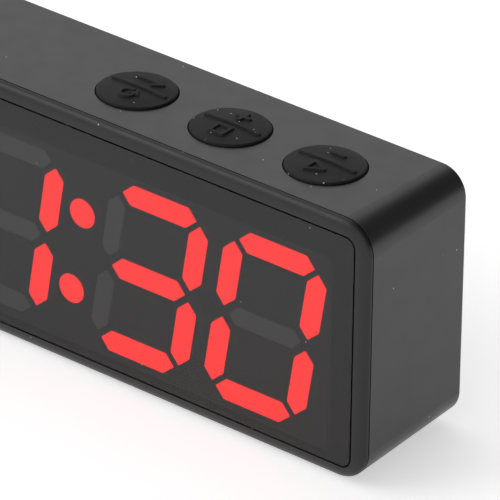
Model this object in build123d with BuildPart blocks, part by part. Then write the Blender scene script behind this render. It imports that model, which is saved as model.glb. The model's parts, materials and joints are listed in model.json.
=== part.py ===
"""Gym round timer: a small LED interval timer in a drafted plastic case, all sizes in millimetres.

+X runs along the display to the reader's right, +Y from the display to the back, +Z up.
The origin is on the table, under the middle of the case. Every "depth" is measured back from the front plane,
and a height "from the middle" is measured up from the middle of the case.
"""

from build123d import *

import math
import os

# ---------------------------------------------------------------- driving dimensions
BODY_W = 141.0  # case width, at the front plane
BODY_H = 55.0  # case height, at the front plane
BODY_D = 31.3  # front plane to back face
DRAFT_DEG = 1.83  # every outer side leans in towards the back
CORNER_R = 6.6  # case corners, seen from the front
WALL = 2.0
FOOT_DROP = 1.0  # the feet hold the case this far above the table
FIT = 0.05  # clearance between pieces that stay together

PARTING_DEPTH = 1.84  # joint between the bezel and the housing
PARTING_GROOVE = 0.3
LENS_INSET = 3.1  # case outline to the joint round the lens, at the top and the ends
LENS_INSET_BOTTOM = 2.9
LENS_GAP = 0.34  # width of that joint
LENS_CORNER_R = 2.3
LENS_T = 1.0
TAPE_T = 0.1
PLATE_DEPTH = 3.0  # front plane to the back of the bezel's plate
TONGUE_DEPTH = 5.0  # front plane to the end of the tongue that enters the housing

DIGIT_H = 38.1  # 1.5 inch digits
SEGMENT_T = 4.65
LEVEL_LENGTH = 18.0  # of a level segment, point to point
UPRIGHT_LENGTH = 14.7
COLUMN = 9.95  # middle of a digit to the middle of its upright segments
UPRIGHT_SPREAD = 0.23  # the upright segments stand this far outside the middle of their half
DIGIT_SLANT = 0.156  # sideways lean for each unit of height
DIGIT_PITCH = 28.15
COLON_PITCH = 35.3  # between the two digits beside the colon
COLON_R = 3.09
COLON_SPACING = 17.3
COLON_DROP = 0.18
UNLIT_SHRINK, UNLIT_ROUND = 0.35, 0.8  # an unlit diffuser's clear core is smaller and rounder than its cavity
DISPLAY_DROP = 2.6  # middle of the digits below the middle of the case
BLOCK_W, BLOCK_H = 122.0, 40.0
BOARD_DEPTH = 8.5  # front plane to the front of the display board
BOARD_T = 1.6
THIN_BOARD_T = 1.2

BUTTON_X = {"mode": -48.6, "reset": 3.2, "stop": 25.9, "start": 48.6}
BUTTON_DEPTH = 15.1
BUTTON_BORE_R = 8.1
BUTTON_R = 7.85
BUTTON_RISE = 0.45  # edge of the button above the top face
BUTTON_DOME = 0.4  # middle of the button above its edge
BUTTON_TRAVEL = 0.5
MARK_HEIGHT = 0.25  # raised marks on the buttons
MARK_BACK, MARK_FRONT = 3.6, -2.6  # middle of the marks behind and before the bar
BAR_L, BAR_W, BAR_SHIFT = 13.0, 0.6, 0.6  # raised bar across each button, a little behind its middle
FLANGE_R, FLANGE_T = 9.0, 0.9
SWITCH_SIZE, SWITCH_H = 6.0, 3.5  # tactile switch under each button
STEM_R, STEM_RISE, STEM_SUNK = 1.7, 1.5, 1.2
BUTTON_BOARD_BELOW = 8.9  # top face to the top of the button board
BUTTON_BOARD_L, BUTTON_BOARD_W, BUTTON_BOARD_DEPTH = 112.0, 12.4, 17.8
BUTTON_POSTS = (-37.2, -8.2, 14.55, 37.25)
BUTTON_POST_DEPTH = 20.6

PORT_DEPTH = 18.0  # middle of the ports in the left end
PORT_BOARD_X = -62.0  # outer side of the port board
PORT_POSTS = (15.0, -15.8)  # from the middle
USB_Z, CHARGE_Z, SWITCH_Z = -9.0, 0.5, 8.5  # from the middle
USB_W, USB_H, USB_SHEET = 8.94, 3.26, 0.3
SWITCH_TRAVEL = 2.0
KNOB_L, KNOB_W = 3.2, 2.0
PIPE_R = 1.0

SCREW_INSET = 6.3  # case outline to the corner screws
SCREW_SEAT = 2.4  # back face to the underside of the screw heads
SCREW_R, SCREW_HEAD_R, SCREW_GRIP = 1.25, 2.4, 10.0  # shank, head, and length in the bezel's post
SMALL_SCREW_R, SMALL_HEAD_R, SMALL_HEAD_T = 0.8, 1.9, 1.2
PILOT_R = 0.85  # hole in a post for a small screw
BOARD_HOLE_R = 1.1  # hole in a board for a small screw
MAGNET_R, MAGNET_T = 6.0, 2.0
MAGNET_RING = 1.2  # width and height of the ring round each magnet
MAGNET_X, MAGNET_Z = 52.0, 12.5
SPEAKER_X, SPEAKER_R, SPEAKER_T = 38.0, 10.0, 4.6
BATTERY_L, BATTERY_H, BATTERY_T = 50.0, 34.0, 10.0
BATTERY_X, BATTERY_Z = -4.0, -6.5  # from the middle
FOOT_X, FOOT_DEPTHS = 50.0, (6.4, 25.2)
FOOT_L, FOOT_W, FOOT_SINK = 16.0, 6.0, 0.5

# ---------------------------------------------------------------- worked out from those
DRAFT = math.tan(math.radians(DRAFT_DEG))
LEAN = (math.sin(math.radians(DRAFT_DEG)), math.cos(math.radians(DRAFT_DEG)))
FRONT_Y = -BODY_D / 2
MID_Z = FOOT_DROP + BODY_H / 2
DISPLAY_Z = MID_Z - DISPLAY_DROP
POCKET_DEPTH = LENS_T + TAPE_T
BACK_WALL_DEPTH = BODY_D - WALL
BOARD_BACK = BOARD_DEPTH + BOARD_T
SCREW_X, SCREW_Z = BODY_W / 2 - SCREW_INSET, BODY_H / 2 - SCREW_INSET
SEAT_DEPTH = BODY_D - SCREW_SEAT
POST_END_DEPTH = SEAT_DEPTH - WALL


def going_back(depth, x=0.0, z=MID_Z):
    """A plane across the timer at a depth, with its normal to the back: its right is -X and its up is +Z."""
    return Plane(origin=(x, FRONT_Y + depth, z), x_dir=(-1, 0, 0), z_dir=(0, 1, 0))


def facing(depth, x=0.0, z=MID_Z):
    """A plane across the timer at a depth, seen from the front: its right is +X and its up is +Z."""
    return Plane(origin=(x, FRONT_Y + depth, z), x_dir=(1, 0, 0), z_dir=(0, -1, 0))


def on_top(x, depth, below=0.0):
    """A plane on the sloping top face, or below it, with its normal outwards and its up towards the back."""
    sin_lean, cos_lean = LEAN
    top_z = MID_Z + BODY_H / 2 - DRAFT * depth
    origin = (x, FRONT_Y + depth - below * sin_lean, top_z - below * cos_lean)
    return Plane(origin=origin, x_dir=(1, 0, 0), z_dir=(0, sin_lean, cos_lean))


def from_left(x, z=0.0, depth=PORT_DEPTH):
    """A plane across the left end at x, with its normal outwards: its right is to the front, its up is +Z."""
    return Plane(origin=(x, FRONT_Y + depth, MID_Z + z), x_dir=(0, -1, 0), z_dir=(-1, 0, 0))


def facing_right(x, depth=0.0):
    """A plane across the timer at x, with its normal to +X: its right is to the back, its up is +Z."""
    return Plane(origin=(x, FRONT_Y + depth, MID_Z), x_dir=(0, 1, 0), z_dir=(1, 0, 0))


def place(x, depth, z):
    """A point given by its depth and its height from the middle."""
    return (x, FRONT_Y + depth, MID_Z + z)


def case_size(depth, inset=0.0):
    """Width, height and corner radius of the case outline at a depth, taken in by inset."""
    total = inset + DRAFT * depth
    return BODY_W - 2 * total, BODY_H - 2 * total, CORNER_R - total


def corners(x, z):
    """The four points (+-x, +-z)."""
    return [(sx * x, sz * z) for sx in (-1, 1) for sz in (-1, 1)]


def save(builder, name):
    builder.part.label = name
    export_step(builder.part, f"parts/{name}.step")


def add_screw(seat, shank_r, shank_length, head_r, head_t):
    """A cross-head screw: the seat plane lies under its head, with its normal towards the head."""
    with BuildSketch(seat) as head:
        Circle(head_r)
    extrude(head.sketch, amount=head_t)
    with BuildSketch(seat) as shank:
        Circle(shank_r)
    extrude(shank.sketch, amount=-shank_length)
    with BuildSketch(seat.offset(head_t)) as cross:
        Rectangle(1.3 * head_r, 0.24 * head_r)
        Rectangle(0.24 * head_r, 1.3 * head_r)
    extrude(cross.sketch, amount=-0.55 * head_t, mode=Mode.SUBTRACT)


def add_lead(points, radius, bend):
    """A round wire along straight runs with rounded turns."""
    with BuildLine() as route:
        FilletPolyline(*points, radius=bend)
    with BuildSketch(Plane(origin=route.line @ 0, z_dir=route.line % 0)) as section:
        Circle(radius)
    sweep(section.sketch, path=route.line)


os.makedirs("parts", exist_ok=True)

# ---------------------------------------------------------------- housing: a tub that is open at the front
LEFT_X = -BODY_W / 2 + DRAFT * PORT_DEPTH  # outer face of the left end, at the ports
SLOT_L = KNOB_L + SWITCH_TRAVEL + 0.6
RECESS = 0.7
BACK_EDGE_R = 0.7
MAGNET_COVER = 0.8  # thickness of the back wall behind the magnets
SEAT_POST_R = 3.6
PANEL_X, PANEL_W, PANEL_H, PANEL_SUNK = -4.0, 40.0, 22.0, 0.3

with BuildPart() as housing:
    with BuildSketch(going_back(PARTING_DEPTH)):
        RectangleRounded(*case_size(PARTING_DEPTH))
    extrude(amount=BODY_D - PARTING_DEPTH, taper=DRAFT_DEG)
    fillet(housing.faces().sort_by(Axis.Y)[-1].edges(), BACK_EDGE_R)
    with BuildSketch(going_back(PARTING_DEPTH)):
        RectangleRounded(*case_size(PARTING_DEPTH, WALL))
    extrude(amount=BACK_WALL_DEPTH - PARTING_DEPTH, taper=DRAFT_DEG, mode=Mode.SUBTRACT)
    # seats for the corner screws
    with BuildSketch(going_back(POST_END_DEPTH)):
        with Locations(*corners(SCREW_X, SCREW_Z)):
            Circle(SEAT_POST_R)
    extrude(amount=BACK_WALL_DEPTH - POST_END_DEPTH)
    with BuildSketch(going_back(POST_END_DEPTH)):
        with Locations(*corners(SCREW_X, SCREW_Z)):
            Circle(SCREW_R + 0.2)
    extrude(amount=SEAT_DEPTH - POST_END_DEPTH, mode=Mode.SUBTRACT)
    with BuildSketch(going_back(SEAT_DEPTH)):
        with Locations(*corners(SCREW_X, SCREW_Z)):
            Circle(SCREW_HEAD_R + 0.3)
    extrude(amount=SCREW_SEAT, mode=Mode.SUBTRACT)
    # rings inside the back wall that hold the magnets
    with BuildSketch(going_back(BACK_WALL_DEPTH - MAGNET_RING)):
        with Locations(*corners(MAGNET_X, MAGNET_Z)):
            Circle(MAGNET_R + MAGNET_RING)
    extrude(amount=MAGNET_RING)
    with BuildSketch(going_back(BACK_WALL_DEPTH - MAGNET_RING)):
        with Locations(*corners(MAGNET_X, MAGNET_Z)):
            Circle(MAGNET_R + FIT)
    extrude(amount=WALL + MAGNET_RING - MAGNET_COVER, mode=Mode.SUBTRACT)
    # sound slots and a blank shallow panel on the back
    with BuildSketch(going_back(BACK_WALL_DEPTH)):
        with Locations(*[(-SPEAKER_X, 2.6 * row) for row in (-2, -1, 0, 1, 2)]):
            SlotOverall(12.0, 1.2)
    extrude(amount=WALL, mode=Mode.SUBTRACT)
    with BuildSketch(going_back(BODY_D - PANEL_SUNK)):
        with Locations((-PANEL_X, 0)):
            RectangleRounded(PANEL_W, PANEL_H, 1.5)
    extrude(amount=PANEL_SUNK, mode=Mode.SUBTRACT)
    # posts under the top for the button board
    for x in BUTTON_POSTS:
        with BuildSketch(on_top(x, BUTTON_POST_DEPTH, BUTTON_BOARD_BELOW)):
            Circle(2.0)
        extrude(amount=BUTTON_BOARD_BELOW - WALL / 2)
        with BuildSketch(on_top(x, BUTTON_POST_DEPTH, BUTTON_BOARD_BELOW)):
            Circle(PILOT_R)
        extrude(amount=6.0, mode=Mode.SUBTRACT)
    # posts on the left end for the port board
    for z in PORT_POSTS:
        with BuildSketch(from_left(PORT_BOARD_X, z)):
            Circle(1.9)
        extrude(amount=PORT_BOARD_X - LEFT_X - WALL / 2)
        with BuildSketch(from_left(PORT_BOARD_X, z)):
            Circle(PILOT_R)
        extrude(amount=5.0, mode=Mode.SUBTRACT)
    # button bores through the top
    for x in BUTTON_X.values():
        with BuildSketch(on_top(x, BUTTON_DEPTH, WALL + 1)):
            Circle(BUTTON_BORE_R)
        extrude(amount=WALL + 2, mode=Mode.SUBTRACT)
    # openings for the ports, with recesses round the socket and the slide switch
    with BuildSketch(from_left(LEFT_X + WALL + 1)):
        with Locations((0, USB_Z)):
            SlotOverall(USB_W + 0.3, USB_H + 0.3, rotation=90)
        with Locations((0, SWITCH_Z)):
            RectangleRounded(KNOB_W + 0.4, SLOT_L, 0.6)
        with Locations((0, CHARGE_Z)):
            Circle(PIPE_R + FIT)
    extrude(amount=WALL + 2, mode=Mode.SUBTRACT)
    with BuildSketch(from_left(LEFT_X + RECESS)):
        with Locations((0, USB_Z)):
            SlotOverall(12.6, 6.8, rotation=90)
        with Locations((0, SWITCH_Z)):
            RectangleRounded(4.6, SLOT_L + 2.2, 1.4)
    extrude(amount=2, mode=Mode.SUBTRACT)
    # flat pockets for the feet
    for depth in FOOT_DEPTHS:
        with BuildSketch(Plane.XY.offset(FOOT_DROP + DRAFT * depth + FOOT_SINK)):
            with Locations((-FOOT_X, FRONT_Y + depth), (FOOT_X, FRONT_Y + depth)):
                SlotOverall(FOOT_L + 2 * FIT, FOOT_W + 2 * FIT)
        extrude(amount=-2.5, mode=Mode.SUBTRACT)
save(housing, "housing")

# ---------------------------------------------------------------- bezel, with the posts for the corner screws
BOARD_POST_X, BOARD_POST_Z, BOARD_POST_R = 65.0, 9.0, 2.2
BEZEL_POST_R = 2.8
ROUND_DEPTH = PARTING_DEPTH - PARTING_GROOVE - 0.05  # the bezel's rounding ends just short of the groove
ROUND_W = LENS_INSET - LENS_GAP / 2
LENS_SHIFT = (LENS_INSET_BOTTOM - LENS_INSET) / 2  # middle of the lens from the middle of the case


def lens_size(grow):
    """Width, height and corner radius of the lens joint's middle line, moved outwards by grow."""
    height = BODY_H - LENS_INSET - LENS_INSET_BOTTOM
    return BODY_W - 2 * LENS_INSET + 2 * grow, height + 2 * grow, LENS_CORNER_R + grow


# What is taken off the front edge, so that the front falls back to the sides in a quarter of an ellipse.
with BuildPart() as front_rounding:
    top = BODY_H / 2
    with BuildSketch(facing_right(0)) as section:
        with BuildLine():
            inner = top - ROUND_W
            side = top - DRAFT * ROUND_DEPTH
            EllipticalCenterArc((ROUND_DEPTH, inner), ROUND_DEPTH, side - inner, start_angle=90, arc_size=90)
            Polyline((0, inner), (-1, inner), (-1, top + 1), (ROUND_DEPTH, top + 1), (ROUND_DEPTH, side))
        make_face()
    with BuildLine(facing(0)) as quarter:
        FilletPolyline((0, top), (BODY_W / 2, top), (BODY_W / 2, 0), radius=CORNER_R)
    sweep(section.sketch, path=quarter.line)
    mirror(about=Plane.YZ)
    mirror(about=Plane.XY.offset(MID_Z))

with BuildPart() as front_bezel:
    with BuildSketch(going_back(0)):
        RectangleRounded(*case_size(0))
    extrude(amount=PARTING_DEPTH, taper=DRAFT_DEG)
    chamfer(front_bezel.faces().sort_by(Axis.Y)[-1].edges(), PARTING_GROOVE)
    add(front_rounding.part, mode=Mode.SUBTRACT)
    # tongue that enters the housing
    with BuildSketch(going_back(PARTING_DEPTH)):
        RectangleRounded(*case_size(PARTING_DEPTH, WALL + FIT))
    extrude(amount=TONGUE_DEPTH - PARTING_DEPTH, taper=DRAFT_DEG)
    with BuildSketch(going_back(PLATE_DEPTH)):
        RectangleRounded(*case_size(PLATE_DEPTH, WALL + 1.4))
    extrude(amount=TONGUE_DEPTH - PLATE_DEPTH, taper=DRAFT_DEG, mode=Mode.SUBTRACT)
    # posts for the corner screws and for the display board
    with BuildSketch(going_back(PLATE_DEPTH)):
        with Locations(*corners(SCREW_X, SCREW_Z)):
            Circle(BEZEL_POST_R)
    extrude(amount=POST_END_DEPTH - PLATE_DEPTH)
    with BuildSketch(going_back(POST_END_DEPTH - SCREW_GRIP - 2)):
        with Locations(*corners(SCREW_X, SCREW_Z)):
            Circle(SCREW_R + 0.02)
    extrude(amount=SCREW_GRIP + 2, mode=Mode.SUBTRACT)
    with BuildSketch(going_back(PLATE_DEPTH)):
        with Locations(*corners(BOARD_POST_X, BOARD_POST_Z)):
            Circle(BOARD_POST_R)
    extrude(amount=BOARD_DEPTH - PLATE_DEPTH)
    with BuildSketch(going_back(PLATE_DEPTH)):
        with Locations(*corners(BOARD_POST_X, BOARD_POST_Z)):
            Circle(PILOT_R)
    extrude(amount=BOARD_DEPTH - PLATE_DEPTH, mode=Mode.SUBTRACT)
    # pocket for the lens, and the window behind it
    with BuildSketch(going_back(0, z=MID_Z + LENS_SHIFT)):
        RectangleRounded(*lens_size(LENS_GAP / 2))
    extrude(amount=POCKET_DEPTH, mode=Mode.SUBTRACT)
    with BuildSketch(going_back(0, z=DISPLAY_Z)):
        RectangleRounded(BLOCK_W + 0.5, BLOCK_H + 0.5, 1.0)
    extrude(amount=PLATE_DEPTH, mode=Mode.SUBTRACT)
save(front_bezel, "front_bezel")

# ---------------------------------------------------------------- lens and the tape that holds it
with BuildPart() as lens:
    with BuildSketch(going_back(0, z=MID_Z + LENS_SHIFT)):
        RectangleRounded(*lens_size(-LENS_GAP / 2))
    extrude(amount=LENS_T)
save(lens, "lens")

with BuildPart() as lens_tape:
    with BuildSketch(going_back(LENS_T, z=MID_Z + LENS_SHIFT)):
        RectangleRounded(*lens_size(-LENS_GAP / 2 - 0.4))
        with Locations((0, -DISPLAY_DROP - LENS_SHIFT)):
            RectangleRounded(BLOCK_W + 1.2, BLOCK_H + 1.2, 1.2, mode=Mode.SUBTRACT)
    extrude(amount=TAPE_T)
save(lens_tape, "lens_tape")

# ---------------------------------------------------------------- digits
# Middle of each segment from the middle of its digit, and whether it stands upright.
ROW = (DIGIT_H - SEGMENT_T) / 2
HALF_ROW = ROW / 2 + UPRIGHT_SPREAD
SEGMENTS = {
    "a": (0, ROW, False),
    "b": (COLUMN, HALF_ROW, True),
    "c": (COLUMN, -HALF_ROW, True),
    "d": (0, -ROW, False),
    "e": (-COLUMN, -HALF_ROW, True),
    "f": (-COLUMN, HALF_ROW, True),
    "g": (0, 0, False),
}
LIT = {"tens_of_minutes": "", "minutes": "bc", "tens_of_seconds": "abcdg", "seconds": "abcdef"}
DIGIT_X = {
    "tens_of_minutes": -COLON_PITCH / 2 - DIGIT_PITCH,
    "minutes": -COLON_PITCH / 2,
    "tens_of_seconds": COLON_PITCH / 2,
    "seconds": COLON_PITCH / 2 + DIGIT_PITCH,
}
BLOCK_FRONT = POCKET_DEPTH + FIT
DIFFUSER_T = 1.5


def segment_outline(digit_x, key, grow=0.0):
    """The six slanted corners of a segment, from the middle of the display."""
    mid_x, mid_z, upright = SEGMENTS[key]
    half_t = SEGMENT_T / 2 + grow
    half_l = (UPRIGHT_LENGTH if upright else LEVEL_LENGTH) / 2 + grow
    flat = half_l - half_t
    outline = [(-half_l, 0), (-flat, half_t), (flat, half_t), (half_l, 0), (flat, -half_t), (-flat, -half_t)]
    if upright:
        outline = [(across, along) for along, across in outline]
    level = [(mid_x + x, mid_z + z) for x, z in outline]
    return [(digit_x + x + DIGIT_SLANT * z, z) for x, z in level]


def segment_faces(plane, digit_x, keys, grow=0.0, rounding=0.0):
    """Outlines of some of a digit's segments."""
    with BuildSketch(plane) as outlines:
        for key in keys:
            with BuildLine():
                Polyline(*segment_outline(digit_x, key, grow), close=True)
            make_face()
        if rounding:
            fillet(outlines.vertices(), rounding)
    return outlines.sketch


COLON_POINTS = [(DIGIT_SLANT * z, z - COLON_DROP) for z in (COLON_SPACING / 2, -COLON_SPACING / 2)]

with BuildPart() as display_block:
    with BuildSketch(facing(BLOCK_FRONT, z=DISPLAY_Z)):
        RectangleRounded(BLOCK_W, BLOCK_H, 1.0)
    extrude(amount=BLOCK_FRONT - BOARD_DEPTH)
    for digit_x in DIGIT_X.values():
        cavities = segment_faces(facing(BLOCK_FRONT, z=DISPLAY_Z), digit_x, SEGMENTS)
        extrude(cavities, amount=BLOCK_FRONT - BOARD_DEPTH, mode=Mode.SUBTRACT)
    with BuildSketch(facing(BLOCK_FRONT, z=DISPLAY_Z)):
        with Locations(*COLON_POINTS):
            Circle(COLON_R)
    extrude(amount=BLOCK_FRONT - BOARD_DEPTH, mode=Mode.SUBTRACT)
save(display_block, "display_block")

for digit, digit_x in DIGIT_X.items():
    front = facing(BLOCK_FRONT, z=DISPLAY_Z)
    if LIT[digit]:
        with BuildPart() as diffusers:
            extrude(segment_faces(front, digit_x, LIT[digit], -FIT), amount=-DIFFUSER_T)
        save(diffusers, f"{digit}_lit")
    unlit = [key for key in SEGMENTS if key not in LIT[digit]]
    with BuildPart() as diffusers:
        extrude(segment_faces(front, digit_x, unlit, -UNLIT_SHRINK, UNLIT_ROUND), amount=-DIFFUSER_T)
    save(diffusers, f"{digit}_unlit")

with BuildPart() as colon_dots:
    with BuildSketch(facing(BLOCK_FRONT, z=DISPLAY_Z)):
        with Locations(*COLON_POINTS):
            Circle(COLON_R - FIT)
    extrude(amount=-DIFFUSER_T)
save(colon_dots, "colon_dots")

# ---------------------------------------------------------------- display board and what is on it
BOARD_W, BOARD_TOP, BOARD_BOTTOM = 134.0, 20.5, -24.0

with BuildPart() as display_board:
    with BuildSketch(going_back(BOARD_DEPTH)):
        with Locations((0, (BOARD_TOP + BOARD_BOTTOM) / 2)):
            Rectangle(BOARD_W, BOARD_TOP - BOARD_BOTTOM)
        with Locations(*corners(SCREW_X, SCREW_Z)):
            Circle(3.3, mode=Mode.SUBTRACT)
            Rectangle(12.0, 6.6, mode=Mode.SUBTRACT)
        with Locations(*corners(BOARD_POST_X, BOARD_POST_Z)):
            Circle(BOARD_HOLE_R, mode=Mode.SUBTRACT)
    extrude(amount=BOARD_T)
save(display_board, "display_board")

with BuildPart() as segment_leds:
    with BuildSketch(facing(BOARD_DEPTH, z=DISPLAY_Z)):
        for digit_x in DIGIT_X.values():
            for mid_x, mid_z, upright in SEGMENTS.values():
                for side in (-3.0, 3.0):
                    x = mid_x + (0 if upright else side)
                    z = mid_z + (side if upright else 0)
                    with Locations((digit_x + x + DIGIT_SLANT * z, z)):
                        Rectangle(1.6, 0.8)
        with Locations(*COLON_POINTS):
            Rectangle(1.6, 0.8)
    extrude(amount=0.6)
save(segment_leds, "segment_leds")

with BuildPart() as display_board_screws:
    for x, z in corners(BOARD_POST_X, BOARD_POST_Z):
        add_screw(going_back(BOARD_BACK, x, MID_Z + z), SMALL_SCREW_R, 6.5, SMALL_HEAD_R, SMALL_HEAD_T)
save(display_board_screws, "display_board_screws")

# Chips, coil and capacitors on the back of the board: x, height from the middle, width, height, thickness.
CHIPS = {
    "display_driver": [(-12.0, -12.0, 17.9, 7.5, 2.3)],
    "microcontroller": [(14.0, -10.0, 7.0, 7.0, 1.4)],
    "charging_chips": [(-46.0, -12.0, 4.9, 3.9, 1.5), (-46.0, -5.0, 2.9, 1.6, 1.1)],
}
for name, boxes in CHIPS.items():
    with BuildPart() as chips:
        for x, z, width, height, thickness in boxes:
            with BuildSketch(going_back(BOARD_BACK, x, MID_Z + z)):
                Rectangle(width, height)
            extrude(amount=thickness)
        chamfer(chips.faces().sort_by(Axis.Y)[-1].edges(), 0.2)
    save(chips, name)

with BuildPart() as capacitors:
    for x, z in ((-30.0, -18.0), (24.0, -18.0), (32.0, -18.0)):
        with BuildSketch(going_back(BOARD_BACK, x, MID_Z + z)):
            Circle(2.5)
        extrude(amount=5.4)
save(capacitors, "capacitors")

with BuildPart() as coil:
    with BuildSketch(going_back(BOARD_BACK, -54.0, MID_Z - 12.0)):
        RectangleRounded(5.0, 5.0, 0.8)
    extrude(amount=2.0)
save(coil, "power_coil")

# ---------------------------------------------------------------- buttons, switches and their board
MARK_TOP = BUTTON_RISE + BUTTON_DOME + MARK_HEIGHT
STEM_TOP_BELOW = BUTTON_BOARD_BELOW - SWITCH_H - STEM_RISE


def button_axis_plane(x):
    """The plane through a button's axis: its right is +X and its up runs out of the button."""
    sin_lean, cos_lean = LEAN
    return Plane(origin=on_top(x, BUTTON_DEPTH).origin, x_dir=(1, 0, 0), z_dir=(0, -cos_lean, sin_lean))


def add_dome(x, lift, mode):
    """The button's outer form, lifted, as far down as its flange."""
    edge = BUTTON_RISE + lift
    with BuildSketch(button_axis_plane(x)) as section:
        with BuildLine():
            Line((0, -WALL), (BUTTON_R, -WALL))
            Line((BUTTON_R, -WALL), (BUTTON_R, edge - 0.3))
            ThreePointArc((BUTTON_R, edge - 0.3), (BUTTON_R - 0.1, edge - 0.1), (BUTTON_R - 0.35, edge))
            crown = edge + BUTTON_DOME
            ThreePointArc((BUTTON_R - 0.35, edge), (BUTTON_R / 2, edge + 0.74 * BUTTON_DOME), (0, crown))
            Line((0, crown), (0, -WALL))
        make_face()
    plane = on_top(x, BUTTON_DEPTH)
    revolve(section.sketch, axis=Axis(plane.origin, plane.z_dir), mode=mode)


def add_arrow():
    with Locations((-0.7, MARK_BACK)):
        Rectangle(2.6, 0.55)
    with Locations((1.0, MARK_BACK)):
        Triangle(a=2.0, b=1.5, c=1.5, rotation=-90)


def add_plus():
    with Locations((0, MARK_BACK)):
        Rectangle(2.6, 0.6)
        Rectangle(0.6, 2.6)


def add_minus():
    with Locations((0, MARK_BACK)):
        Rectangle(2.4, 0.6)


def add_list():
    with Locations(*[(0, MARK_BACK + step) for step in (-1.0, 0, 1.0)]):
        Rectangle(3.0, 0.45)


def add_loop():
    """Three quarters of a ring with an arrow head: back to the start."""
    with Locations((0, MARK_FRONT)):
        Circle(1.9)
        Circle(1.3, mode=Mode.SUBTRACT)
        with Locations((1.4, 1.0)):
            Rectangle(1.6, 1.5, mode=Mode.SUBTRACT)
    with Locations((1.6, MARK_FRONT + 0.1)):
        Triangle(a=1.7, b=1.3, c=1.3, rotation=180)


def add_square():
    with Locations((0, MARK_FRONT)):
        Rectangle(3.0, 3.0)


def add_triangle():
    with Locations((0.3, MARK_FRONT)):
        Triangle(a=3.6, b=3.6, c=3.6, rotation=-90)


def add_dots():
    with Locations(*[(step, MARK_FRONT) for step in (-2.0, 0, 2.0)]):
        Circle(0.6)


MARKS = {
    "mode": (add_list, add_dots),
    "reset": (add_arrow, add_loop),
    "stop": (add_plus, add_square),
    "start": (add_minus, add_triangle),
}

for name, x in BUTTON_X.items():
    with BuildPart() as marks:
        with BuildSketch(on_top(x, BUTTON_DEPTH)):
            with Locations((0, BAR_SHIFT)):
                SlotOverall(BAR_L, BAR_W)
            for add_mark in MARKS[name]:
                add_mark()
        extrude(amount=MARK_TOP)
        add_dome(x, MARK_HEIGHT, Mode.INTERSECT)
    with BuildPart() as button:
        add_dome(x, 0.0, Mode.ADD)
        with BuildSketch(on_top(x, BUTTON_DEPTH, WALL + FIT)):
            Circle(FLANGE_R)
        extrude(amount=-FLANGE_T)
        with BuildSketch(on_top(x, BUTTON_DEPTH, WALL - 0.5)):
            Circle(BUTTON_R)
        extrude(amount=-0.6)
        with BuildSketch(on_top(x, BUTTON_DEPTH, STEM_TOP_BELOW)):
            Circle(2.0)
        extrude(amount=STEM_TOP_BELOW - WALL)
        add(marks.part)
    save(button, f"{name}_button")
    with BuildPart() as stem:
        with BuildSketch(on_top(x, BUTTON_DEPTH, STEM_TOP_BELOW)):
            Circle(STEM_R)
        extrude(amount=-STEM_RISE - STEM_SUNK)
    save(stem, f"{name}_switch_stem")

with BuildPart() as switch_bodies:
    for x in BUTTON_X.values():
        with BuildSketch(on_top(x, BUTTON_DEPTH, BUTTON_BOARD_BELOW)):
            RectangleRounded(SWITCH_SIZE, SWITCH_SIZE, 0.4)
        extrude(amount=SWITCH_H)
        with BuildSketch(on_top(x, BUTTON_DEPTH, BUTTON_BOARD_BELOW - SWITCH_H)):
            Circle(STEM_R + 0.08)
        extrude(amount=-STEM_SUNK - BUTTON_TRAVEL - 0.2, mode=Mode.SUBTRACT)
save(switch_bodies, "switch_bodies")

with BuildPart() as button_board:
    with BuildSketch(on_top(0, BUTTON_BOARD_DEPTH, BUTTON_BOARD_BELOW)):
        RectangleRounded(BUTTON_BOARD_L, BUTTON_BOARD_W, 1.0)
        with Locations(*[(x, BUTTON_POST_DEPTH - BUTTON_BOARD_DEPTH) for x in BUTTON_POSTS]):
            Circle(BOARD_HOLE_R, mode=Mode.SUBTRACT)
    extrude(amount=-THIN_BOARD_T)
save(button_board, "button_board")

with BuildPart() as button_board_screws:
    for x in BUTTON_POSTS:
        under = on_top(x, BUTTON_POST_DEPTH, BUTTON_BOARD_BELOW + THIN_BOARD_T)
        seat = Plane(origin=under.origin, x_dir=(1, 0, 0), z_dir=-under.z_dir)
        add_screw(seat, SMALL_SCREW_R, 6.5, SMALL_HEAD_R, SMALL_HEAD_T)
save(button_board_screws, "button_board_screws")

# ---------------------------------------------------------------- ports in the left end
PORT_BOARD_MID = -0.3
KNOB_FOOT_X = PORT_BOARD_X - 2.2
SWITCH_TOP_X = PORT_BOARD_X - 3.6

with BuildPart() as port_board:
    with BuildSketch(from_left(PORT_BOARD_X)):
        with Locations((0, PORT_BOARD_MID)):
            RectangleRounded(11.0, 35.0, 1.0)
        with Locations(*[(0, z) for z in PORT_POSTS]):
            Circle(BOARD_HOLE_R, mode=Mode.SUBTRACT)
    extrude(amount=-THIN_BOARD_T)
save(port_board, "port_board")

with BuildPart() as port_board_screws:
    for z in PORT_POSTS:
        inner = from_left(PORT_BOARD_X + THIN_BOARD_T, z)
        seat = Plane(origin=inner.origin, x_dir=(0, 1, 0), z_dir=(1, 0, 0))
        add_screw(seat, SMALL_SCREW_R, 5.5, SMALL_HEAD_R, SMALL_HEAD_T)
save(port_board_screws, "port_board_screws")

USB_LENGTH = PORT_BOARD_X - LEFT_X - RECESS
with BuildPart() as usb_shell:
    with BuildSketch(from_left(PORT_BOARD_X, USB_Z)):
        SlotOverall(USB_W, USB_H, rotation=90)
    extrude(amount=USB_LENGTH)
    with BuildSketch(from_left(PORT_BOARD_X - 0.6, USB_Z)):
        SlotOverall(USB_W - 2 * USB_SHEET, USB_H - 2 * USB_SHEET, rotation=90)
    extrude(amount=USB_LENGTH, mode=Mode.SUBTRACT)
save(usb_shell, "usb_shell")

with BuildPart() as usb_tongue:
    with BuildSketch(from_left(PORT_BOARD_X - 0.6, USB_Z)):
        RectangleRounded(0.7, 6.7, 0.2)
    extrude(amount=USB_LENGTH - 1.4)
save(usb_tongue, "usb_tongue")

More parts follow.
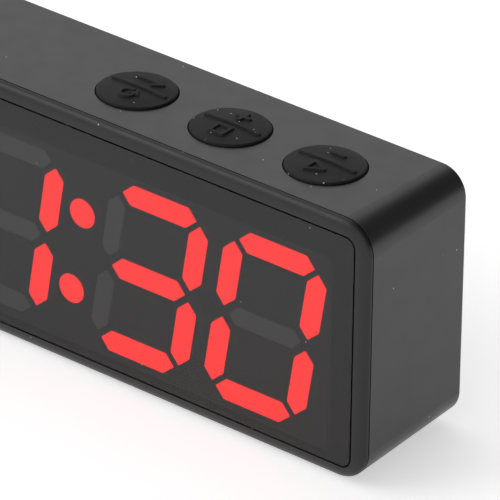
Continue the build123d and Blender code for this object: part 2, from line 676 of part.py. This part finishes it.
with BuildPart() as slide_switch:
    with BuildSketch(from_left(PORT_BOARD_X, SWITCH_Z)):
        Rectangle(4.0, 8.4)
    extrude(amount=PORT_BOARD_X - SWITCH_TOP_X)
    with BuildSketch(from_left(KNOB_FOOT_X + 0.1, SWITCH_Z)):
        Rectangle(KNOB_W + 0.2, KNOB_L + SWITCH_TRAVEL + 0.2)
    extrude(amount=2.0, mode=Mode.SUBTRACT)
save(slide_switch, "slide_switch")

KNOB_TOP_X = LEFT_X - 0.3
with BuildPart() as power_knob:
    with BuildSketch(from_left(KNOB_FOOT_X, SWITCH_Z - SWITCH_TRAVEL / 2)):
        Rectangle(KNOB_W, KNOB_L)
    extrude(amount=KNOB_FOOT_X - KNOB_TOP_X)
    # grip ridges
    with BuildSketch(from_left(KNOB_TOP_X + 0.3, SWITCH_Z - SWITCH_TRAVEL / 2)):
        with Locations(*[(0, 0.8 * row) for row in (-1, 0, 1)]):
            Rectangle(KNOB_W, 0.35)
    extrude(amount=0.3, mode=Mode.SUBTRACT)
save(power_knob, "power_knob")

with BuildPart() as charge_led:
    with BuildSketch(from_left(PORT_BOARD_X, CHARGE_Z)):
        Rectangle(0.8, 1.6)
    extrude(amount=0.6)
save(charge_led, "charge_led")

with BuildPart() as light_pipe:
    with BuildSketch(from_left(PORT_BOARD_X - 1.0, CHARGE_Z)):
        Circle(PIPE_R)
    extrude(amount=PORT_BOARD_X - 1.0 - LEFT_X - 0.1)
    with BuildSketch(from_left(LEFT_X + WALL + 0.9, CHARGE_Z)):
        Circle(1.6)
    extrude(amount=0.8)
save(light_pipe, "light_pipe")

# ---------------------------------------------------------------- battery, speaker and magnets
BATTERY_BACK = BACK_WALL_DEPTH - 0.3
with BuildPart() as battery:
    with BuildSketch(going_back(BATTERY_BACK - BATTERY_T, BATTERY_X, MID_Z + BATTERY_Z)):
        RectangleRounded(BATTERY_L, BATTERY_H, 2.0)
    extrude(amount=BATTERY_T)
    fillet(battery.edges().group_by(Axis.Y)[0], 1.0)
save(battery, "battery")

with BuildPart() as battery_tape:
    with BuildSketch(going_back(BATTERY_BACK, BATTERY_X, MID_Z + BATTERY_Z)):
        with Locations((-15.0, 0), (15.0, 0)):
            Rectangle(10.0, 28.0)
    extrude(amount=0.3)
save(battery_tape, "battery_tape")

with BuildPart() as speaker_gasket:
    with BuildSketch(going_back(BACK_WALL_DEPTH - 0.6, SPEAKER_X)):
        Circle(SPEAKER_R)
        Circle(SPEAKER_R - 1.5, mode=Mode.SUBTRACT)
    extrude(amount=0.6)
save(speaker_gasket, "speaker_gasket")

with BuildPart() as speaker:
    with BuildSketch(going_back(BACK_WALL_DEPTH - 0.6 - SPEAKER_T, SPEAKER_X)):
        Circle(SPEAKER_R - 2.0)
    extrude(amount=SPEAKER_T - 1.4)
    with BuildSketch(going_back(BACK_WALL_DEPTH - 2.0, SPEAKER_X)):
        Circle(SPEAKER_R)
    extrude(amount=1.4)
    with BuildSketch(going_back(BACK_WALL_DEPTH - 1.4, SPEAKER_X)):
        Circle(SPEAKER_R - 1.2)
    extrude(amount=0.8, mode=Mode.SUBTRACT)
save(speaker, "speaker")

with BuildPart() as magnets:
    with BuildSketch(going_back(BODY_D - MAGNET_COVER - MAGNET_T)):
        with Locations(*corners(MAGNET_X, MAGNET_Z)):
            Circle(MAGNET_R)
    extrude(amount=MAGNET_T)
save(magnets, "holding_magnets")

# ---------------------------------------------------------------- cables between the boards
LEAD_R = 0.55
BATTERY_PLUG_X, BATTERY_PLUG_Z = -39.0, BATTERY_Z
SPEAKER_PLUG_X = 25.0
PLUG_T, SOCKET_T = 3.0, 3.5
BATTERY_LEAD_DEPTH = BATTERY_BACK - BATTERY_T / 2
SPEAKER_LEAD_DEPTH = BACK_WALL_DEPTH - 1.3 - LEAD_R

for name, x, z in (("battery", BATTERY_PLUG_X, BATTERY_PLUG_Z), ("speaker", SPEAKER_PLUG_X, 0.0)):
    with BuildPart() as socket:
        with BuildSketch(going_back(BOARD_BACK, x, MID_Z + z)):
            Rectangle(4.8, 7.8)
        extrude(amount=SOCKET_T)
    save(socket, f"{name}_socket")
    with BuildPart() as plug:
        with BuildSketch(going_back(BOARD_BACK + SOCKET_T, x, MID_Z + z)):
            Rectangle(3.8, 6.0)
        extrude(amount=PLUG_T)
    save(plug, f"{name}_plug")

PLUG_BACK = BOARD_BACK + SOCKET_T + PLUG_T
for name, side in (("positive", 1.0), ("negative", -1.0)):
    with BuildPart() as lead:
        start_x, z = BATTERY_X - BATTERY_L / 2, BATTERY_PLUG_Z + side
        ends = [(start_x, BATTERY_LEAD_DEPTH), (BATTERY_PLUG_X, PLUG_BACK)]
        route = [ends[0], (BATTERY_PLUG_X, BATTERY_LEAD_DEPTH), ends[1]]
        add_lead([place(x, depth, z) for x, depth in route], LEAD_R, 3.2)
    save(lead, f"battery_lead_{name}")
    with BuildPart() as lead:
        start_x = SPEAKER_X - SPEAKER_R
        ends = [(start_x, SPEAKER_LEAD_DEPTH), (SPEAKER_PLUG_X, PLUG_BACK)]
        route = [ends[0], (SPEAKER_PLUG_X, SPEAKER_LEAD_DEPTH), ends[1]]
        add_lead([place(x, depth, side) for x, depth in route], LEAD_R, 1.3)
    save(lead, f"speaker_lead_{name}")

# Flat cable from the display board to the button board: both ends enter their sockets from below.
RIBBON_X, RIBBON_T, RIBBON_W = -22.0, 0.3, 8.0
RIBBON_FRONT, RIBBON_BACK, RIBBON_LOW = 11.2, 15.0, 6.5
FRONT_SOCKET_Z = 12.0
BUTTON_BOARD_UNDER = on_top(0, RIBBON_BACK, BUTTON_BOARD_BELOW + THIN_BOARD_T).origin.Z - MID_Z

with BuildPart() as ribbon_sockets:
    with BuildSketch(going_back(BOARD_BACK, RIBBON_X, MID_Z + FRONT_SOCKET_Z)):
        Rectangle(RIBBON_W + 2, 3.6)
    extrude(amount=2.2)
    with BuildSketch(on_top(RIBBON_X, RIBBON_BACK, BUTTON_BOARD_BELOW + THIN_BOARD_T)):
        Rectangle(RIBBON_W + 2, 2.2)
    extrude(amount=-2.4)
save(ribbon_sockets, "ribbon_sockets")

with BuildPart() as button_ribbon:
    with BuildSketch(facing_right(RIBBON_X - RIBBON_W / 2)):
        with BuildLine():
            ends = (FRONT_SOCKET_Z - 1.8 - RIBBON_T, BUTTON_BOARD_UNDER - 2.5 - RIBBON_T)
            path = [(RIBBON_FRONT, ends[0]), (RIBBON_FRONT, RIBBON_LOW)]
            path += [(RIBBON_BACK, RIBBON_LOW), (RIBBON_BACK, ends[1])]
            FilletPolyline(*path, radius=1.7)
            offset(amount=RIBBON_T / 2, side=Side.BOTH)
        make_face()
    extrude(amount=RIBBON_W)
save(button_ribbon, "button_ribbon")

# Flat cable from the port board to the display board.
PORT_RIBBON_DEPTH, PORT_RIBBON_X, SOCKET_H = 19.0, -52.0, 2.2
PORT_INNER_X = PORT_BOARD_X + THIN_BOARD_T

with BuildPart() as port_ribbon_sockets:
    with BuildSketch(facing_right(PORT_INNER_X, PORT_RIBBON_DEPTH)):
        Rectangle(3.6, RIBBON_W + 2)
    extrude(amount=SOCKET_H)
    with BuildSketch(going_back(BOARD_BACK, PORT_RIBBON_X)):
        Rectangle(3.6, RIBBON_W + 2)
    extrude(amount=SOCKET_H)
save(port_ribbon_sockets, "port_ribbon_sockets")

with BuildPart() as port_ribbon:
    with BuildSketch(Plane.XY.offset(MID_Z - RIBBON_W / 2)):
        with BuildLine():
            path = [(PORT_INNER_X + SOCKET_H + RIBBON_T / 2, PORT_RIBBON_DEPTH)]
            path += [(PORT_RIBBON_X, PORT_RIBBON_DEPTH)]
            path += [(PORT_RIBBON_X, BOARD_BACK + SOCKET_H + RIBBON_T / 2)]
            FilletPolyline(*[(x, FRONT_Y + depth) for x, depth in path], radius=2.5)
            offset(amount=RIBBON_T / 2, side=Side.BOTH)
        make_face()
    extrude(amount=RIBBON_W)
save(port_ribbon, "port_ribbon")

# ---------------------------------------------------------------- corner screws and feet
with BuildPart() as corner_screws:
    for x, z in corners(SCREW_X, SCREW_Z):
        add_screw(going_back(SEAT_DEPTH, x, MID_Z + z), SCREW_R, WALL + SCREW_GRIP, SCREW_HEAD_R, 1.7)
save(corner_screws, "corner_screws")

with BuildPart() as feet:
    for depth in FOOT_DEPTHS:
        height = FOOT_DROP + DRAFT * depth + FOOT_SINK
        with BuildSketch(Plane.XY):
            with Locations((-FOOT_X, FRONT_Y + depth), (FOOT_X, FRONT_Y + depth)):
                SlotOverall(FOOT_L, FOOT_W)
        extrude(amount=height)
    chamfer(feet.faces().filter_by(lambda face: face.center().Z < 0.01).edges(), 0.3)
save(feet, "feet")
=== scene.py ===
import json
import math

import bpy
from mathutils import Matrix, Vector


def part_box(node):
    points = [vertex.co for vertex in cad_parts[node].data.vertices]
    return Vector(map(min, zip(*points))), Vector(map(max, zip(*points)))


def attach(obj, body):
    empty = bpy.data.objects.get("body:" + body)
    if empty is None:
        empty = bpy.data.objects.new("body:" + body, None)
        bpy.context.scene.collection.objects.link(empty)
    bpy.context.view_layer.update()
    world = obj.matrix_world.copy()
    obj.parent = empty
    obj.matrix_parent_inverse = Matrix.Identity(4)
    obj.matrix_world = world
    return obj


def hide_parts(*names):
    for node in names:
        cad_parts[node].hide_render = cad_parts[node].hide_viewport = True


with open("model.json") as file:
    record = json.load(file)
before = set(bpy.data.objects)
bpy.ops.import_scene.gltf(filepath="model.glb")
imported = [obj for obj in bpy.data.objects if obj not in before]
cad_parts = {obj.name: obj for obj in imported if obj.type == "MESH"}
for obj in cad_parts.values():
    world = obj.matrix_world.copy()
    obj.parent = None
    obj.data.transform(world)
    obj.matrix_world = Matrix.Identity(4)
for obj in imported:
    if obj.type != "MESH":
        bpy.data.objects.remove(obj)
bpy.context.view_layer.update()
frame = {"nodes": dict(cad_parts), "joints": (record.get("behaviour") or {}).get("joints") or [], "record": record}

MM = 0.001

# ---------------------------------------------------------------- camera
CAMERA_AZIMUTH = math.radians(38.472)
CAMERA_ELEVATION = math.radians(29.464)
CAMERA_ROLL = math.radians(0.794)
CAMERA_DISTANCE = 1.1809
CAMERA_LENS = 462.31  # millimetres, on the default 36 mm sensor
CAMERA_AIM = Vector((0.04743, -0.02125, 0.04614))  # just in front of the start button


def make_camera():
    """The camera looks at its aim from an azimuth, an elevation and a distance, rolled about its axis."""
    cos_e = math.cos(CAMERA_ELEVATION)
    cos_a, sin_a = math.cos(CAMERA_AZIMUTH), math.sin(CAMERA_AZIMUTH)
    back = Vector((sin_a * cos_e, -cos_a * cos_e, math.sin(CAMERA_ELEVATION)))
    right = Vector((cos_a, sin_a, 0))
    up = back.cross(right)
    cos_r, sin_r = math.cos(CAMERA_ROLL), math.sin(CAMERA_ROLL)
    right, up = cos_r * right + sin_r * up, cos_r * up - sin_r * right
    data = bpy.data.cameras.new("camera")
    data.lens = CAMERA_LENS
    camera = bpy.data.objects.new("camera", data)
    turn = Matrix((right, up, back)).transposed().to_4x4()
    camera.matrix_world = Matrix.Translation(CAMERA_AIM + back * CAMERA_DISTANCE) @ turn
    bpy.context.scene.collection.objects.link(camera)
    bpy.context.scene.camera = camera


# ---------------------------------------------------------------- studio
ROOM_LIGHT = (0.12, 1.0)  # strength of the dark and of the pale part of the room
LEFT_FADE = (-0.36, 0.16)  # the X of a direction, over which the room goes from pale to dark
LOW_FADE = (-0.02, 0.1)  # the same for Z
FRONT_FADE = (-0.8, -0.2)  # the same for Y
TABLE_SIZE = 12.0
TABLE_PAINT = (0.87, 0.87, 0.87, 1)
TABLE_GLOW = 0.51  # the table shines by itself as well, so that no shadow on it is dark
KEY_PLACE, KEY_AIM = (-1.03, -1.1, 1.16), (0, 0, 0.03)
KEY_SIZE, KEY_POWER = 0.95, 5.6
WHITE = (1, 1, 1, 1)


def make_key():
    """One large soft light, high on the left and in front."""
    data = bpy.data.lights.new("key", "AREA")
    data.shape = "RECTANGLE"
    data.size, data.size_y = KEY_SIZE, KEY_SIZE
    data.energy = KEY_POWER
    light = bpy.data.objects.new("key", data)
    light.location = KEY_PLACE
    light.rotation_euler = (Vector(KEY_AIM) - Vector(KEY_PLACE)).to_track_quat("-Z", "Y").to_euler()
    bpy.context.scene.collection.objects.link(light)


def make_table():
    half = TABLE_SIZE / 2
    mesh = bpy.data.meshes.new("floor")
    corners = [(-half, -half, 0), (half, -half, 0), (half, half, 0), (-half, half, 0)]
    mesh.from_pydata(corners, [], [(0, 1, 2, 3)])
    floor = bpy.data.objects.new("floor", mesh)
    bpy.context.scene.collection.objects.link(floor)
    paint = Paint("floor_paint")
    set_inputs(paint.shader, {"Base Color": TABLE_PAINT, "Roughness": 0.9, "Specular IOR Level": 0.1})
    set_inputs(paint.shader, {"Emission Color": WHITE, "Emission Strength": TABLE_GLOW})
    paint.material.cycles.emission_sampling = "NONE"
    mesh.materials.append(paint.material)


def make_room():
    """A room that is pale on the left, in front and low down, and dark behind on the right."""
    world = bpy.data.worlds.new("studio")
    world.use_nodes = True
    nodes, links = world.node_tree.nodes, world.node_tree.links
    background = nodes["Background"]
    place = nodes.new("ShaderNodeTexCoord")
    split = nodes.new("ShaderNodeSeparateXYZ")
    links.new(place.outputs["Generated"], split.inputs[0])
    bright = add_range(nodes, links, split.outputs["X"], LEFT_FADE, (1.0, 0.0))
    for axis, fade in (("Z", LOW_FADE), ("Y", FRONT_FADE)):
        brighter = nodes.new("ShaderNodeMath")
        brighter.operation = "MAXIMUM"
        links.new(bright, brighter.inputs[0])
        links.new(add_range(nodes, links, split.outputs[axis], fade, (1.0, 0.0)), brighter.inputs[1])
        bright = brighter.outputs[0]
    strength = add_range(nodes, links, bright, (0.0, 1.0), ROOM_LIGHT)
    links.new(strength, background.inputs["Strength"])
    background.inputs["Color"].default_value = WHITE
    bpy.context.scene.world = world


# ---------------------------------------------------------------- materials
class Paint:
    """A material with its node tree, its shader and the object's own coordinates in metres."""

    def __init__(self, name):
        self.material = bpy.data.materials.new(name)
        self.material.use_nodes = True
        self.nodes = self.material.node_tree.nodes
        self.links = self.material.node_tree.links
        self.shader = self.nodes["Principled BSDF"]
        self.place = self.nodes.new("ShaderNodeTexCoord").outputs["Object"]


def set_inputs(shader, values):
    for key, value in values.items():
        shader.inputs[key].default_value = value


def add_range(nodes, links, value, source, target):
    """The value, mapped smoothly from one range to another."""
    node = nodes.new("ShaderNodeMapRange")
    node.interpolation_type = "SMOOTHSTEP"
    for index, number in enumerate((*source, *target), 1):
        node.inputs[index].default_value = number
    links.new(value, node.inputs["Value"])
    return node.outputs["Result"]


def add_noise(paint, size, detail=2.0):
    """Noise whose lumps are about size metres across."""
    noise = paint.nodes.new("ShaderNodeTexNoise")
    noise.inputs["Scale"].default_value = 1 / size
    noise.inputs["Detail"].default_value = detail
    paint.links.new(paint.place, noise.inputs["Vector"])
    return noise.outputs["Fac"]


def add_mix(paint, factor, low, high):
    """Colour low where the factor is 0 and high where it is 1. Each is a colour or a socket."""
    mix = paint.nodes.new("ShaderNodeMix")
    mix.data_type = "RGBA"
    paint.links.new(factor, mix.inputs["Factor"])
    for socket, colour in ((mix.inputs["A"], low), (mix.inputs["B"], high)):
        if isinstance(colour, bpy.types.NodeSocket):
            paint.links.new(colour, socket)
        else:
            socket.default_value = (*colour, 1)
    return mix.outputs["Result"]


def add_bump(paint, height, depth, strength):
    bump = paint.nodes.new("ShaderNodeBump")
    bump.inputs["Distance"].default_value = depth
    bump.inputs["Strength"].default_value = strength
    paint.links.new(height, bump.inputs["Height"])
    return bump.outputs["Normal"]


def add_specks(paint, spacing, radius):
    """1 on tiny specks that lie at random, about one in each cube of the given spacing."""
    cells = paint.nodes.new("ShaderNodeTexVoronoi")
    cells.inputs["Scale"].default_value = 1 / spacing
    paint.links.new(paint.place, cells.inputs["Vector"])
    reach = radius / spacing
    return add_range(paint.nodes, paint.links, cells.outputs["Distance"], (0.6 * reach, reach), (1, 0))


DUST = (0.55, 0.55, 0.53)
DUST_R = 0.17 * MM
NOISE_SPAN = (0.3, 0.7)  # nearly all noise values lie in this range
# how large the lumps, the spots over the LEDs, the scratches and the pattern of tracks are
CLOUD_SIZE, SMEAR_SIZE, LED_SIZE, SCRATCH_SIZE, TRACK_SIZE = 14 * MM, 5 * MM, 6 * MM, 0.3 * MM, 4 * MM


def grey(value):
    return (value, value, value)


def moulded_plastic(
    name, colour, roughness, grain=0.18 * MM, grain_depth=0.004 * MM, specular=0.5, dust_spacing=0.0
):
    """Moulded plastic: fine grain, faint clouds in the colour, smears in the roughness, and dust."""
    paint = Paint(name)
    clouds = add_noise(paint, CLOUD_SIZE, 3.0)
    shade = add_mix(paint, clouds, tuple(0.9 * c for c in colour), tuple(1.1 * c for c in colour))
    if dust_spacing:
        shade = add_mix(paint, add_specks(paint, dust_spacing, DUST_R), shade, DUST)
    paint.links.new(shade, paint.shader.inputs["Base Color"])
    smears = (roughness - 0.03, roughness + 0.03)
    rough = add_range(paint.nodes, paint.links, add_noise(paint, SMEAR_SIZE), NOISE_SPAN, smears)
    paint.links.new(rough, paint.shader.inputs["Roughness"])
    normal = add_bump(paint, add_noise(paint, grain), grain_depth, 0.5)
    paint.links.new(normal, paint.shader.inputs["Normal"])
    set_inputs(paint.shader, {"Specular IOR Level": specular})
    return paint


def tinted_lens():
    """Smoke-tinted acrylic: dark, smooth and partly see-through."""
    paint = moulded_plastic("lens", grey(0.003), 0.1, grain_depth=0.0, specular=0.665, dust_spacing=5 * MM)
    set_inputs(paint.shader, {"Alpha": 0.62})
    return paint


def clear_pipe():
    """Clear acrylic that leads the charge light to the outside."""
    paint = moulded_plastic("light_pipe", (0.7, 0.72, 0.72), 0.15, grain_depth=0.0)
    set_inputs(paint.shader, {"Alpha": 0.6})
    return paint


def lit_segment():
    """A red diffuser, a little brighter over its LEDs."""
    paint = Paint("segment_lit")
    glow = add_mix(paint, add_noise(paint, LED_SIZE), (1.0, 0.017, 0.017), (1.0, 0.022, 0.021))
    paint.links.new(glow, paint.shader.inputs["Emission Color"])
    set_inputs(paint.shader, {"Base Color": (0.05, 0.002, 0.002, 1), "Roughness": 0.5})
    set_inputs(paint.shader, {"Emission Strength": 6.9})
    paint.material.cycles.emission_sampling = "NONE"
    return paint


def metal(name, colour, roughness):
    """Plated or rolled metal, with fine scratches along one way."""
    paint = Paint(name)
    stretch = paint.nodes.new("ShaderNodeMapping")
    stretch.inputs["Scale"].default_value = (1.0, 8.0, 1.0)
    paint.links.new(paint.place, stretch.inputs["Vector"])
    noise = paint.nodes.new("ShaderNodeTexNoise")
    noise.inputs["Scale"].default_value = 1 / SCRATCH_SIZE
    paint.links.new(stretch.outputs[0], noise.inputs["Vector"])
    scratches = noise.outputs["Fac"]
    rough = add_range(paint.nodes, paint.links, scratches, NOISE_SPAN, (roughness, roughness + 0.15))
    paint.links.new(rough, paint.shader.inputs["Roughness"])
    shade = add_mix(paint, scratches, tuple(0.85 * c for c in colour), colour)
    paint.links.new(shade, paint.shader.inputs["Base Color"])
    normal = add_bump(paint, scratches, 0.003 * MM, 0.4)
    paint.links.new(normal, paint.shader.inputs["Normal"])
    set_inputs(paint.shader, {"Metallic": 1.0})
    return paint


def circuit_board():
    """Green solder mask over faint copper tracks."""
    paint = Paint("circuit_board")
    bricks = paint.nodes.new("ShaderNodeTexBrick")
    bricks.inputs["Scale"].default_value = 1 / TRACK_SIZE
    bricks.inputs["Mortar Size"].default_value = 0.06
    paint.links.new(paint.place, bricks.inputs["Vector"])
    tracks = bricks.outputs["Fac"]
    shade = add_mix(paint, tracks, (0.006, 0.07, 0.022), (0.012, 0.12, 0.035))
    paint.links.new(shade, paint.shader.inputs["Base Color"])
    normal = add_bump(paint, tracks, 0.02 * MM, 0.5)
    paint.links.new(normal, paint.shader.inputs["Normal"])
    set_inputs(paint.shader, {"Roughness": 0.3})
    return paint


RUBBER = dict(roughness=0.62, grain=0.25 * MM, grain_depth=0.01 * MM, specular=0.22, dust_spacing=2.3 * MM)
PLASTICS = {
    "case": dict(colour=grey(0.015), roughness=0.33, specular=0.46, dust_spacing=4.2 * MM),
    "bezel": dict(
        colour=grey(0.01),
        roughness=0.35,
        grain=0.12 * MM,
        grain_depth=0.002 * MM,
        specular=0.37,
        dust_spacing=4 * MM,
    ),
    "button_rubber": dict(colour=grey(0.009), **RUBBER),
    "foot_rubber": dict(colour=grey(0.03), **RUBBER),
    "segment_unlit": dict(colour=grey(0.88), roughness=0.6, grain_depth=0.001 * MM),
    "foam_tape": dict(colour=grey(0.0055), roughness=0.85, specular=0.08),
    "display_block": dict(colour=grey(0.008), roughness=0.8, specular=0.1),
    "knob": dict(colour=grey(0.03), roughness=0.4),
    "chip_black": dict(colour=grey(0.02), roughness=0.5),
    "switch_plastic": dict(colour=grey(0.02), roughness=0.45),
    "socket_white": dict(colour=(0.7, 0.66, 0.55), roughness=0.45),
    "ribbon": dict(colour=(0.6, 0.6, 0.57), roughness=0.35),
    "wire_red": dict(colour=(0.4, 0.012, 0.012), roughness=0.4),
    "wire_black": dict(colour=grey(0.012), roughness=0.4),
    "led_chip": dict(colour=(0.75, 0.7, 0.4), roughness=0.35),
}
METALS = {
    "screw_steel": dict(colour=(0.6, 0.6, 0.62), roughness=0.3),
    "screw_black": dict(colour=(0.08, 0.08, 0.085), roughness=0.38),
    "switch_steel": dict(colour=grey(0.66), roughness=0.25),
    "capacitor_can": dict(colour=(0.6, 0.61, 0.64), roughness=0.25),
    "battery_foil": dict(colour=(0.62, 0.63, 0.66), roughness=0.35),
    "speaker_can": dict(colour=(0.16, 0.16, 0.17), roughness=0.4),
    "magnet_plate": dict(colour=(0.72, 0.72, 0.74), roughness=0.15),
}


def make_materials():
    """The materials by slot."""
    paints = {
        "lens": tinted_lens(),
        "light_pipe": clear_pipe(),
        "segment_lit": lit_segment(),
        "circuit_board": circuit_board(),
    }
    paints.update({slot: moulded_plastic(slot, **look) for slot, look in PLASTICS.items()})
    paints.update({slot: metal(slot, **look) for slot, look in METALS.items()})
    return {slot: paint.material for slot, paint in paints.items()}


def dress_nodes(materials):
    """Gives every CAD node the material of its slot."""
    for row in frame["record"]["subparts"]:
        mesh = frame["nodes"][row["node"]].data
        mesh.materials.clear()
        mesh.materials.append(materials[row["material_slot"]])


# ---------------------------------------------------------------- buttons: rubber caps, raised marks
# Heights are measured from the case's top face. A point on a cap is (u, v): u to the right, v to the back.
CAP_R = 7.85 * MM
CAP_RISE = 0.45 * MM  # edge of the cap
CAP_DOME = 0.4 * MM  # middle of the cap above its edge
EDGE_R = 0.35 * MM
WALL_T = 2.0 * MM
FLANGE_R = 9.0 * MM
FLANGE_BOTTOM = 2.95 * MM
NUB_R = 2.0 * MM
STEM_TOP = 3.9 * MM  # top face of the case to the top of the switch stem
STEM_MIDDLE = 5.25 * MM  # and to its middle
BORE_GAP, FLANGE_GAP = 0.02 * MM, 0.05 * MM  # below the case's top wall
CAP_RINGS, CAP_SPOKES = 100, 360
EDGE_TURNS = (75, 83)  # degrees round the cap's edge, for two more rings

MARK_HEIGHT = 0.36 * MM
MARK_SOFT = 0.14 * MM  # width of the rounded sides of a mark
BACK_V, BAR_V, FRONT_V = 3.9 * MM, 0.6 * MM, -2.9 * MM  # middles of the marks and of the bar between them
RING_R, RING_HALF_W, RING_START = 1.45 * MM, 0.3 * MM, 65  # the ring's gap ends RING_START degrees from u


def near_stroke(point, start, end, width):
    """Distance outside a round-ended stroke."""
    line = end - start
    along = max(0.0, min(1.0, (point - start).dot(line) / line.length_squared))
    return (point - start - line * along).length - width / 2


def near_polygon(point, corners):
    """Distance outside a convex polygon whose corners run anticlockwise."""
    worst = -1.0
    for a, b in zip(corners, corners[1:] + corners[:1]):
        edge = (b - a).normalized()
        worst = max(worst, (point - a).dot(Vector((edge.y, -edge.x))))
    return worst


def at(u, v):
    return Vector((u * MM, v * MM))


def strokes(pairs, width, middle):
    """One shape for each pair of ends. Those and the width are in millimetres, from the middle."""
    ends = [(middle + at(*a), middle + at(*b)) for a, b in pairs]
    return [lambda p, a=a, b=b: near_stroke(p, a, b, width * MM) for a, b in ends]


def outline(corners, width, middle):
    return strokes(list(zip(corners, corners[1:] + corners[:1])), width, middle)


def ring_arrow(middle):
    """Most of a ring, with an arrow head at its end that points into the gap."""

    def ring(point):
        offset = point - middle
        angle = math.degrees(math.atan2(offset.y, offset.x)) % 360
        if angle < RING_START:
            return 1.0
        return abs(offset.length - RING_R) - RING_HALF_W

    head = [middle + at(*corner) for corner in ((0.4, 0.1), (2.5, 0.1), (1.45, 1.6))]
    return [ring, lambda p: near_polygon(p, head)]


def mark_shapes():
    """Each button's marks: functions that give the distance outside a mark."""
    back, middle, front = (Vector((0, v)) for v in (BACK_V, BAR_V, FRONT_V))
    bar = strokes([((-6.3, 0), (6.3, 0))], 0.7, middle)
    arrow = [((-3.2, 0), (3.0, 0)), ((1.5, 1.3), (3.1, 0)), ((1.5, -1.3), (3.1, 0))]
    plus = [((-1.4, 0), (1.4, 0)), ((0, -1.4), (0, 1.4))]
    minus = [((-1.3, 0), (1.3, 0))]
    rows = [((-1.6, v), (1.6, v)) for v in (-1.2, 0, 1.2)]
    square = [(-1.5, -1.5), (1.5, -1.5), (1.5, 1.5), (-1.5, 1.5)]
    triangle = [(-1.4, -1.8), (1.9, 0), (-1.4, 1.8)]
    dots = [((u, 0), (u + 0.01, 0)) for u in (-2.1, 0, 2.1)]
    marks = {
        "reset": strokes(arrow, 0.7, back) + ring_arrow(front),
        "stop": strokes(plus, 0.8, back) + outline(square, 0.65, front),
        "start": strokes(minus, 0.8, back) + outline(triangle, 0.65, front),
        "mode": strokes(rows, 0.6, back) + strokes(dots, 1.2, front),
    }
    return {name: bar + shapes for name, shapes in marks.items()}


def cap_height(point, shapes):
    """Height of the cap above the case's top face at a point on it."""
    radius = point.length
    height = CAP_RISE + CAP_DOME * (1 - (radius / CAP_R) ** 2)
    if radius > CAP_R - EDGE_R:
        height -= EDGE_R - math.sqrt(max(0.0, EDGE_R**2 - (radius - CAP_R + EDGE_R) ** 2))
    nearest = min(shape(point) for shape in shapes)
    if nearest < MARK_SOFT:
        part = min(1.0, 1 - nearest / MARK_SOFT)
        height += MARK_HEIGHT * part * part * (3 - 2 * part)
    return height


def on_ring(radius):
    turns = [2 * math.pi * k / CAP_SPOKES for k in range(CAP_SPOKES)]
    return [Vector((radius * math.cos(turn), radius * math.sin(turn))) for turn in turns]


def cap_points(shapes):
    """Points (u, v) with their heights: the middle, ring after ring outwards and down, the middle below."""
    middle = Vector((0, 0))
    radii = [CAP_R * (ring / CAP_RINGS) for ring in range(1, CAP_RINGS)]
    radii = sorted(radii + [CAP_R - EDGE_R * (1 - math.sin(math.radians(a))) for a in EDGE_TURNS])
    # from the edge of the cap down to the nub that meets the switch
    lower = [(CAP_R, CAP_RISE - EDGE_R), (CAP_R, -WALL_T - BORE_GAP), (FLANGE_R, -WALL_T - FLANGE_GAP)]
    lower += [(FLANGE_R, -FLANGE_BOTTOM), (NUB_R, -FLANGE_BOTTOM), (NUB_R, -STEM_TOP)]
    points = [(middle, cap_height(middle, shapes))]
    for radius in radii:
        points += [(point, cap_height(point, shapes)) for point in on_ring(radius)]
    for radius, height in lower:
        points += [(point, height) for point in on_ring(radius)]
    return points + [(middle, -STEM_TOP)]


def cap_faces(point_count):
    """A fan at each end, and four-sided faces between the rings."""
    rings = (point_count - 2) // CAP_SPOKES
    around = [(k, (k + 1) % CAP_SPOKES) for k in range(CAP_SPOKES)]
    faces = [(0, 1 + k, 1 + after) for k, after in around]
    for ring in range(rings - 1):
        inner, outer = 1 + ring * CAP_SPOKES, 1 + (ring + 1) * CAP_SPOKES
        faces += [(inner + k, outer + k, outer + after, inner + after) for k, after in around]
    last = 1 + (rings - 1) * CAP_SPOKES
    return faces + [(last + after, last + k, point_count - 1) for k, after in around]


def make_button(name, shapes, material):
    """The cap that stands for a CAD button. It moves along its joint's axis, over its switch stem."""
    axis = next(Vector(j["axis"]) for j in frame["joints"] if j["name"] == f"{name}_press")
    out = -axis.normalized()
    low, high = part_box(f"{name}_switch_stem")
    origin = (low + high) / 2 + out * STEM_MIDDLE
    across = Vector((1, 0, 0))
    back = out.cross(across)
    corners = [origin + across * p.x + back * p.y + out * height for p, height in cap_points(shapes)]
    mesh = bpy.data.meshes.new(f"{name}_cap")
    mesh.from_pydata(corners, [], cap_faces(len(corners)))
    mesh.materials.append(material)
    cap = bpy.data.objects.new(f"{name}_cap", mesh)
    bpy.context.scene.collection.objects.link(cap)
    mesh.shade_smooth()
    mesh.set_sharp_from_angle(angle=math.radians(50))
    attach(cap, f"{name}_button_body")
    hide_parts(f"{name}_button")


# ---------------------------------------------------------------- put together
bpy.context.scene.view_settings.view_transform = "Standard"
make_camera()
make_table()
make_room()
make_key()
materials = make_materials()
dress_nodes(materials)
for button, shapes in mark_shapes().items():
    make_button(button, shapes, materials["button_rubber"])
